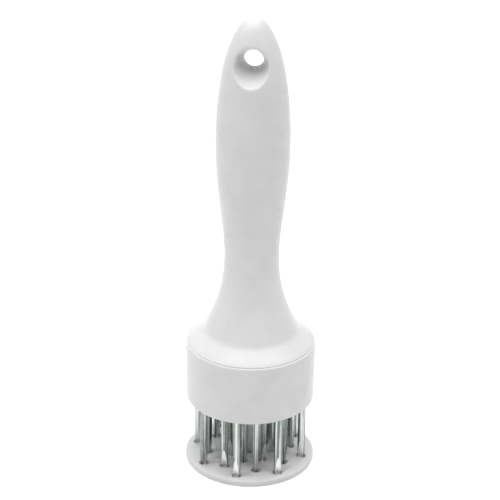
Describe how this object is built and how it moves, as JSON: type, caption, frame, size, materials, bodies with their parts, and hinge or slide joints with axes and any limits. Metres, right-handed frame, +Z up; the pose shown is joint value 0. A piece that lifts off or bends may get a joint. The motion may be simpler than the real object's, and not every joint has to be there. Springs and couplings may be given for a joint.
{
  "type": "needle meat tenderizer",
  "caption": "Hand-press meat tenderizer: waisted white handle over a round head of steel pins that slide through a spring-loaded guard plate.",
  "frame": {"origin": "middle of the guard plate's underside, on the surface that the tool stands on at rest", "axes": "+Z up along the handle, -Y towards the front of the hanging hole, +X to the right seen from the front"},
  "size_m": [0.053, 0.053, 0.1916],
  "materials": {
    "white_plastic": "white moulded plastic with a soft sheen",
    "inner_plastic": "natural moulded plastic, matt",
    "pin_steel": "drawn stainless rod with ground tips",
    "screw_steel": "bright zinc",
    "washer_steel": "stamped steel",
    "spring_steel": "drawn spring wire"
  },
  "bodies": {
    "head": {"handle": "white_plastic", "head_cup": "white_plastic", "pin_retainer": "inner_plastic", "head_screws": "screw_steel", "pin_outer_1": "pin_steel", "pin_outer_2": "pin_steel", "pin_outer_3": "pin_steel", "pin_outer_4": "pin_steel", "pin_outer_5": "pin_steel", "pin_outer_6": "pin_steel", "pin_outer_7": "pin_steel", "pin_outer_8": "pin_steel", "pin_middle_1": "pin_steel", "pin_middle_2": "pin_steel", "pin_middle_3": "pin_steel", "pin_middle_4": "pin_steel", "pin_middle_5": "pin_steel", "pin_middle_6": "pin_steel", "pin_middle_7": "pin_steel", "pin_middle_8": "pin_steel", "pin_inner_1": "pin_steel", "pin_inner_2": "pin_steel", "pin_inner_3": "pin_steel", "pin_inner_4": "pin_steel", "pin_inner_5": "pin_steel", "pin_inner_6": "pin_steel", "pin_inner_7": "pin_steel", "pin_inner_8": "pin_steel"},
    "guard": {"guard_plate": "white_plastic", "guide_post": "white_plastic", "stop_washer": "washer_steel", "stop_screw": "screw_steel", "return_spring": "spring_steel"}
  },
  "joints": [
    {"name": "guard_slide", "type": "slide", "parent": "head", "child": "guard", "axis": [0, 0, 1], "range_m": [0, 0.0264], "stiffness_N_per_m": 800, "springref_m": -0.01, "deforming": ["return_spring"]}
  ]
}
